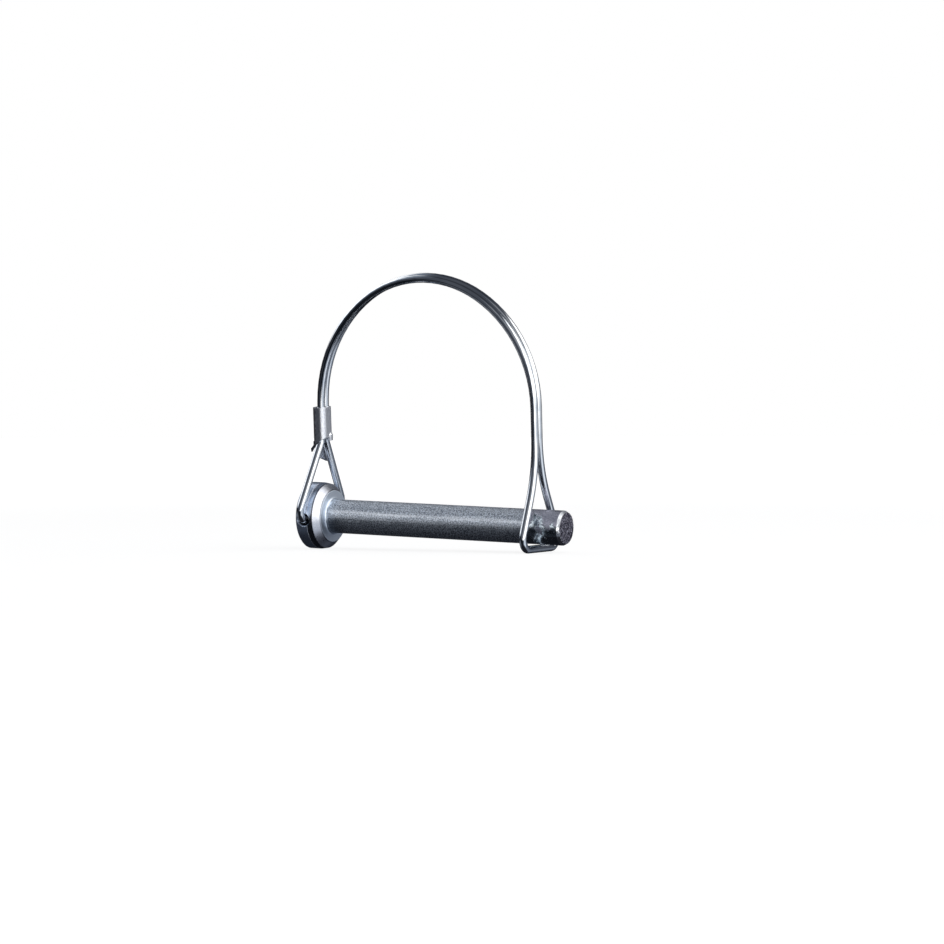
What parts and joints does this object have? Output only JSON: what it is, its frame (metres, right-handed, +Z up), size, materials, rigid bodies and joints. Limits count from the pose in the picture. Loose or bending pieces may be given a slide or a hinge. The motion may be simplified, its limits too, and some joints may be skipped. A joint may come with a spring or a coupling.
{
  "type": "lynch pin",
  "caption": "Headed steel locking pin whose sprung wire bail swings over the head and snaps a loop round the shank's tip.",
  "frame": {"origin": "on the shank's axis at the centre of the head's cross hole, where the bail's hinge axis crosses it", "axes": "+X along the shank from head to tip, +Z up as the part stands on its head's rim and the loop's bar, -Y the front, to which the bow leans 6.1 degrees"},
  "size_m": [0.0839, 0.0257, 0.0816],
  "materials": {
    "pin_steel": "zinc plated, fine grain, slightly blue",
    "wire_steel": "bright zinc plated drawn wire",
    "ferrule_steel": "satin zinc plated sheet"
  },
  "bodies": {
    "pin": {"pin": "pin_steel"},
    "bail": {"bail": "wire_steel", "ferrule": "ferrule_steel"}
  },
  "joints": [
    {"name": "bail_swing", "type": "hinge", "parent": "pin", "child": "bail", "pos_m": [0, 0, 0], "axis": [0, -0.9943, -0.1063], "range_deg": [0, 245]}
  ]
}
